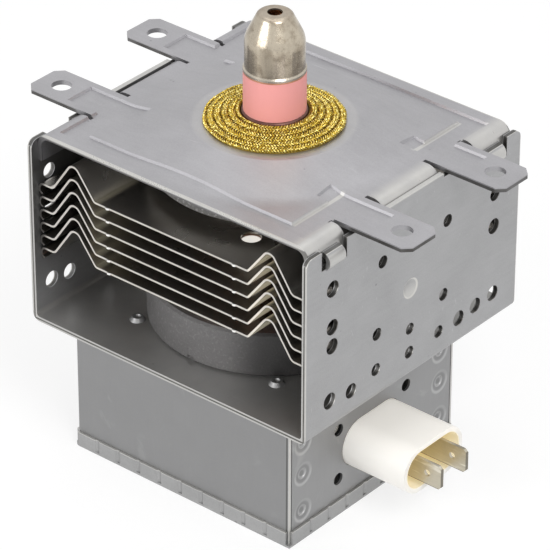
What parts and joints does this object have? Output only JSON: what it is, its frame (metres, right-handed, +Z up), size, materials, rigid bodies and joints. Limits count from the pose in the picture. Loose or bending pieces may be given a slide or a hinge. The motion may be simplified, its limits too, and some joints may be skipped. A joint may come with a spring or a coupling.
{
  "type": "microwave oven magnetron",
  "caption": "Boxy magnetron with a domed antenna on a tabbed top plate, folded cooling fins in a U-shaped yoke, a filter box below and a side capacitor plug.",
  "frame": {"origin": "antenna axis on the top face of the four mounting tabs", "axes": "+Z up along the antenna; +X towards the side wall above the capacitor plug; cooling air passes along Y"},
  "size_m": [0.115, 0.078, 0.1174],
  "materials": {
    "plate_steel": "zinc plated, satin",
    "yoke_steel": "zinc plated, satin",
    "fin_aluminium": "rolled sheet, bright",
    "upper_ferrite": "grained, matte",
    "lower_ferrite": "ground, matte",
    "anode_copper": "drawn copper",
    "strap_copper": "stamped copper",
    "pole_steel": "pressed soft iron",
    "filament_wire": "drawn wire",
    "hat_metal": "turned",
    "lead_metal": "drawn rod",
    "stem_alumina": "fired ceramic",
    "seal_metal": "drawn steel",
    "upper_seal_metal": "drawn steel, heat-stained",
    "antenna_copper": "drawn copper rod",
    "pink_alumina": "fired ceramic, pink",
    "exhaust_copper": "pinched copper tube",
    "cap_nickel": "drawn, satin nickel",
    "gasket_wire": "knitted wire",
    "box_steel": "zinc plated, satin",
    "lid_steel": "zinc plated, satin",
    "rivet_steel": "formed rivet",
    "case_plastic": "moulded, satin",
    "filling_resin": "cast resin",
    "flange_steel": "plated sheet",
    "blade_tin": "tin plated, bright",
    "choke_ferrite": "pressed ferrite",
    "choke_wire": "enamelled wire"
  },
  "bodies": {
    "root": {"top_plate": "plate_steel", "yoke_frame": "yoke_steel", "cooling_fin_1": "fin_aluminium", "cooling_fin_2": "fin_aluminium", "cooling_fin_3": "fin_aluminium", "cooling_fin_4": "fin_aluminium", "cooling_fin_5": "fin_aluminium", "cooling_fin_6": "fin_aluminium", "upper_magnet": "upper_ferrite", "lower_magnet": "lower_ferrite", "anode_cylinder": "anode_copper", "anode_vanes": "anode_copper", "strap_rings": "strap_copper", "upper_pole_piece": "pole_steel", "lower_pole_piece": "pole_steel", "filament_coil": "filament_wire", "upper_end_hat": "hat_metal", "lower_end_hat": "hat_metal", "cathode_leads": "lead_metal", "stem_ceramic": "stem_alumina", "lower_seal_cup": "seal_metal", "upper_seal_cup": "upper_seal_metal", "antenna_lead": "antenna_copper", "antenna_ceramic": "pink_alumina", "exhaust_tube": "exhaust_copper", "antenna_cap": "cap_nickel", "mesh_gasket": "gasket_wire", "filter_box": "box_steel", "filter_box_lid": "lid_steel", "box_rivets": "rivet_steel", "capacitor_case": "case_plastic", "capacitor_filling": "filling_resin", "capacitor_flange": "flange_steel", "terminal_blades": "blade_tin", "choke_cores": "choke_ferrite", "choke_coils": "choke_wire"}
  },
  "joints": []
}
